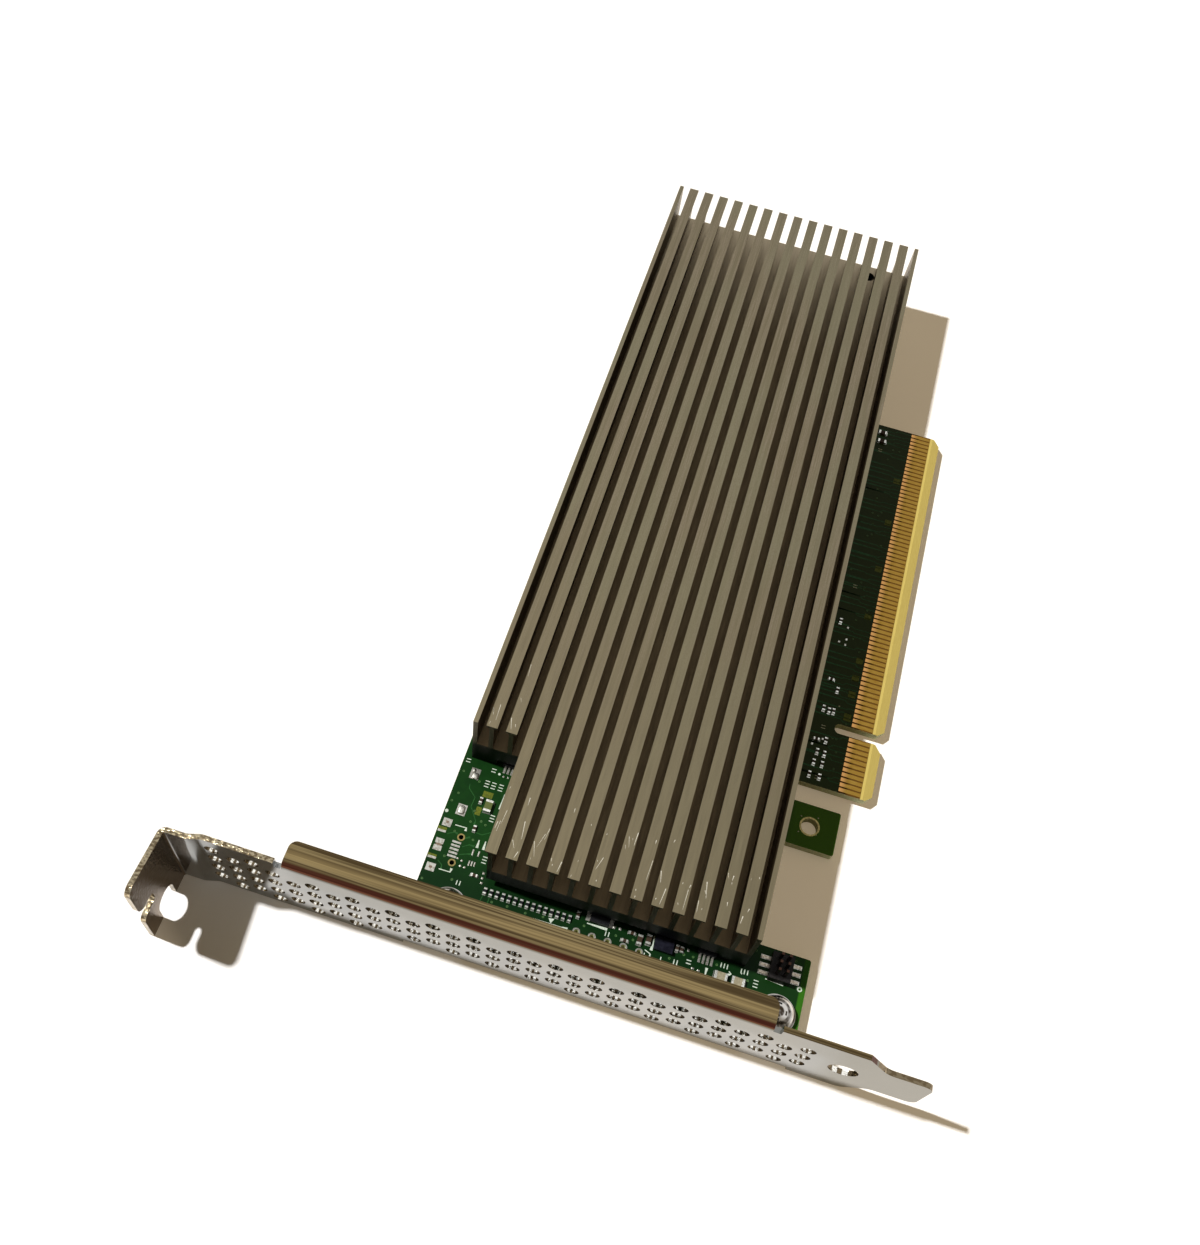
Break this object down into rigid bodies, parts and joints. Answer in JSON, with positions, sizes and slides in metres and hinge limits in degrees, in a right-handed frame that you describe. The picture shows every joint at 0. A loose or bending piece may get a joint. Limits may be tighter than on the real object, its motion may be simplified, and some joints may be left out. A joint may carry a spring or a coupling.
{
  "type": "passive accelerator card",
  "caption": "Low-profile board with an x16 edge connector, a one-piece finned passive heatsink and a perforated full-height bracket.",
  "frame": {"origin": "leading edge of the edge connector, at the centre of its key notch, on the board's middle plane", "axes": "+X leaves the board at the edge connector, +Y runs from the bracket to the far end of the card, +Z is the component side"},
  "size_m": [0.12, 0.1814, 0.0207],
  "materials": {
    "board": "green solder mask over glass fibre",
    "gold": "gold plated",
    "bracket": "plated, nearly mirror bright",
    "screws": "nickel plated",
    "heatsink": "extruded, tops brushed lengthways",
    "substrate": "resin",
    "silicon": "polished",
    "thermal": "soft filler",
    "ferrite": "pressed powder",
    "package": "moulded epoxy",
    "capacitor": "moulded",
    "ceramic": "fired ceramic",
    "led": "clear resin",
    "tin": "tinned",
    "header": "moulded"
  },
  "bodies": {
    "root": {"circuit_board": "board", "edge_contacts_component_side": "gold", "edge_contacts_solder_side": "gold", "bracket": "bracket", "bracket_screws": "screws", "bracket_screw_washers": "screws", "heatsink": "heatsink", "heatsink_screws": "screws", "heatsink_screw_washers": "screws", "accelerator_substrate": "substrate", "accelerator_die": "silicon", "thermal_layer": "thermal", "power_inductors": "ferrite", "power_stages": "package", "power_stage_pads": "thermal", "bulk_capacitors": "capacitor", "resistor_row": "package", "chip_capacitors": "ceramic", "status_leds": "led", "chip_end_caps": "tin", "solder_side_coupling_capacitors": "ceramic", "solder_side_decoupling_capacitors": "ceramic", "solder_side_end_caps": "tin", "memory_chip": "package", "interface_chip": "package", "chip_leads": "tin", "clock_chip": "package", "controller_chip": "package", "pin_header_housing": "header", "pin_header_pins": "gold", "spare_part_lands": "tin", "tab_hole_lands": "gold"}
  },
  "joints": []
}
